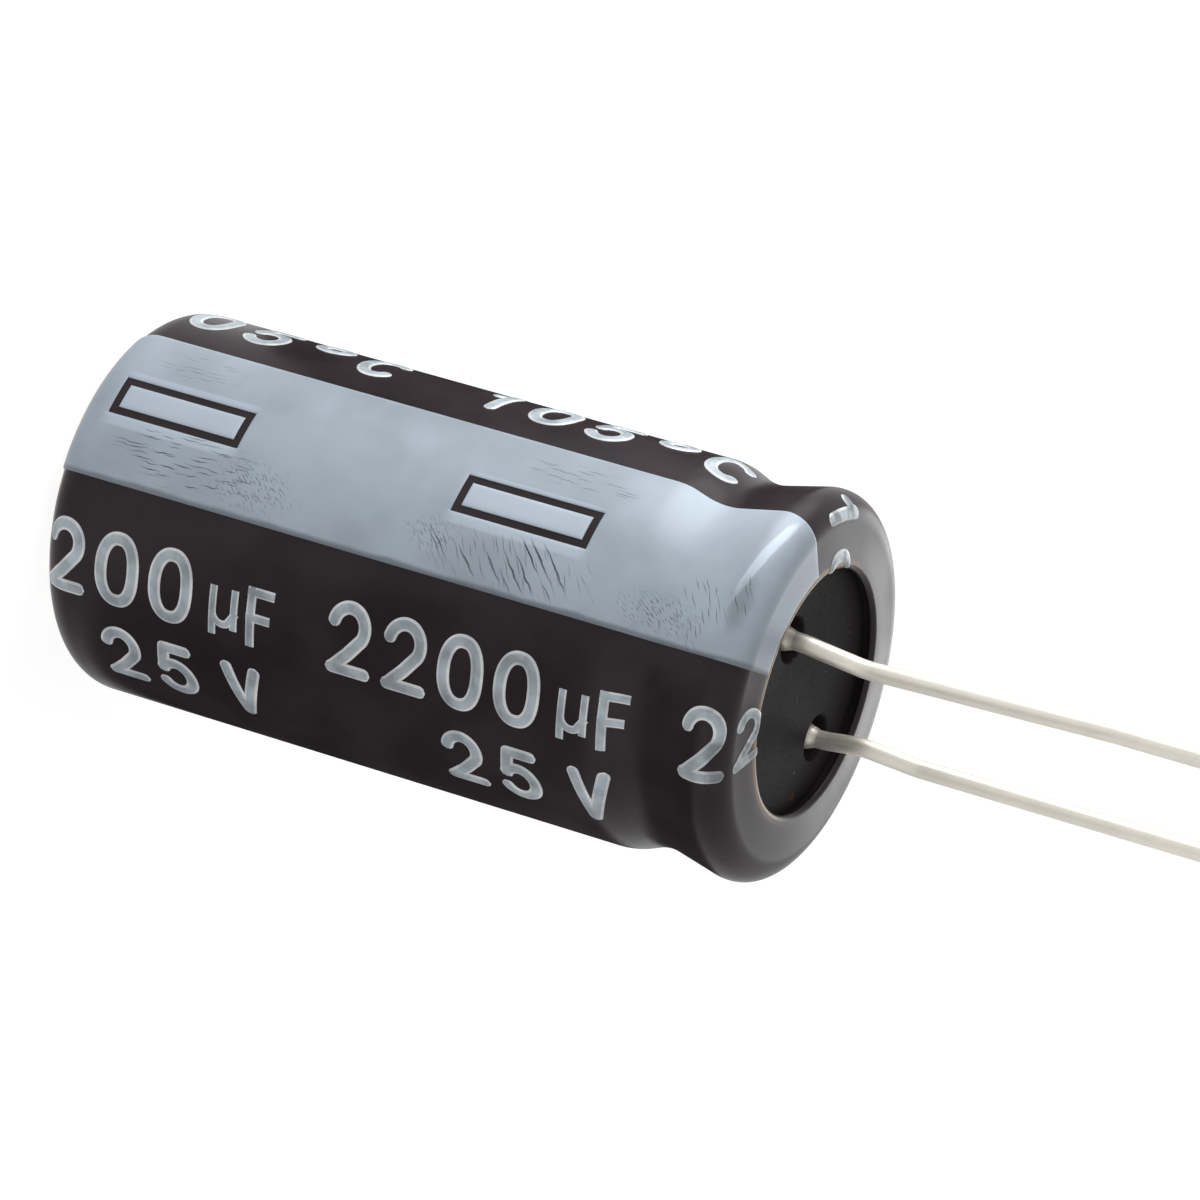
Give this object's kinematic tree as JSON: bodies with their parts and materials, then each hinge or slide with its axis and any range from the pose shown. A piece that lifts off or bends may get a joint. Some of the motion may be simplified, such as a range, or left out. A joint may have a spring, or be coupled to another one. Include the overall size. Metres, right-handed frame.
{
  "type": "electrolytic capacitor",
  "caption": "Radial aluminium electrolytic capacitor with a beaded can in a dark shrunk sleeve, a silver polarity stripe, a rubber seal and long tinned leads.",
  "frame": {"origin": "centre of the closed end's resting ring, on the can's axis", "axes": "+Z along the can's axis from the closed end to the leads, +X from the axis towards the anode lead"},
  "size_m": [0.0129, 0.0128, 0.045],
  "materials": {
    "can_aluminium": "drawn sheet, satin",
    "sleeve_film": "dark brown shrunk film, semi-gloss",
    "silver_ink": "silver print, satin, lightly scratched",
    "seal_rubber": "moulded butyl rubber, matt",
    "winding_paper": "soaked separator paper with etched foil edges",
    "closing_tape": "thin tape, matt",
    "tab_aluminium": "bare",
    "tinned_wire": "bright tin over steel-cored wire, faint drawing lines"
  },
  "bodies": {
    "root": {"can": "can_aluminium", "sleeve": "sleeve_film", "negative_stripe": "silver_ink", "seal": "seal_rubber", "winding": "winding_paper", "winding_tape": "closing_tape", "anode_tab": "tab_aluminium", "cathode_tab": "tab_aluminium", "anode_lead": "tinned_wire", "cathode_lead": "tinned_wire"}
  },
  "joints": []
}
